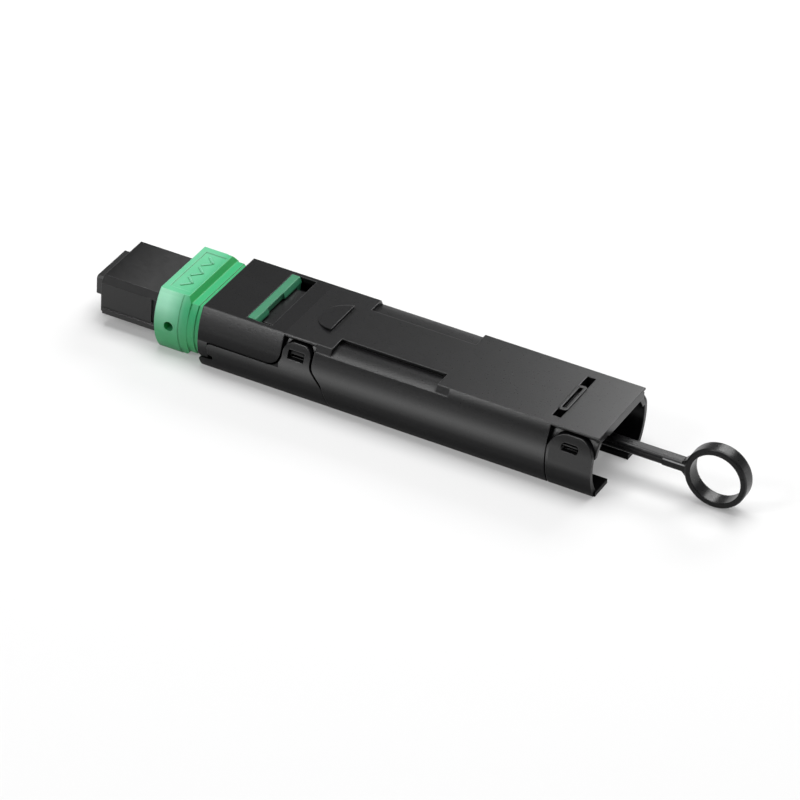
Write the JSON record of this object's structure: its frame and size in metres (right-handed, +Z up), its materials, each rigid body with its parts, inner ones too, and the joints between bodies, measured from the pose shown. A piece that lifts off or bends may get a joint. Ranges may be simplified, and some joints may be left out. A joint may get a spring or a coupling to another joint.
{
  "type": "fibre optic loopback module",
  "caption": "Short multi-fibre loopback module: a rectangular plug with a sliding green sleeve on a flat two-part shell, drawn back by a rod with a finger ring.",
  "frame": {"origin": "centre of the module's length and width, on the flat it lies on", "axes": "+X along the module from the plug to the ring, +Z up through the plate with the window, +Y across"},
  "size_m": [0.0782, 0.0138, 0.0079],
  "materials": {
    "shell_plastic": "fine matte moulding",
    "plug_plastic": "satin moulding",
    "ferrule_plastic": "dense satin",
    "keeper_plastic": "satin",
    "rod_plastic": "glossy moulding",
    "sleeve_plastic": "satin moulding",
    "epoxy": "cured resin",
    "boot_rubber": "matte",
    "spring_steel": "bright drawn wire",
    "fibre_coating": "coloured fibre coating"
  },
  "bodies": {
    "module": {"upper_shell": "shell_plastic", "lower_shell": "shell_plastic", "plug_housing": "plug_plastic", "spring_push": "plug_plastic", "ferrule_spring": "spring_steel", "sleeve_spring_near": "spring_steel", "sleeve_spring_far": "spring_steel"},
    "puller": {"coupling_sleeve": "sleeve_plastic", "pull_rod": "rod_plastic"},
    "ferrule": {"mt_ferrule": "ferrule_plastic", "window_epoxy": "epoxy", "ferrule_boot": "boot_rubber", "pin_keeper": "keeper_plastic", "fibre_ribbon": "fibre_coating", "fibre_loop_a": "fibre_coating", "fibre_loop_b": "fibre_coating", "fibre_loop_c": "fibre_coating", "fibre_loop_d": "fibre_coating", "fibre_loop_e": "fibre_coating", "fibre_loop_f": "fibre_coating"}
  },
  "joints": [
    {"name": "sleeve_pull", "type": "slide", "parent": "module", "child": "puller", "axis": [1, 0, 0], "range_m": [0, 0.0017], "stiffness_N_per_m": 1200, "springref_m": -0.001, "deforming": ["sleeve_spring_near", "sleeve_spring_far"]},
    {"name": "ferrule_float", "type": "slide", "parent": "module", "child": "ferrule", "axis": [1, 0, 0], "range_m": [0, 0.0005], "stiffness_N_per_m": 2500, "springref_m": -0.001, "deforming": ["ferrule_spring"]}
  ]
}
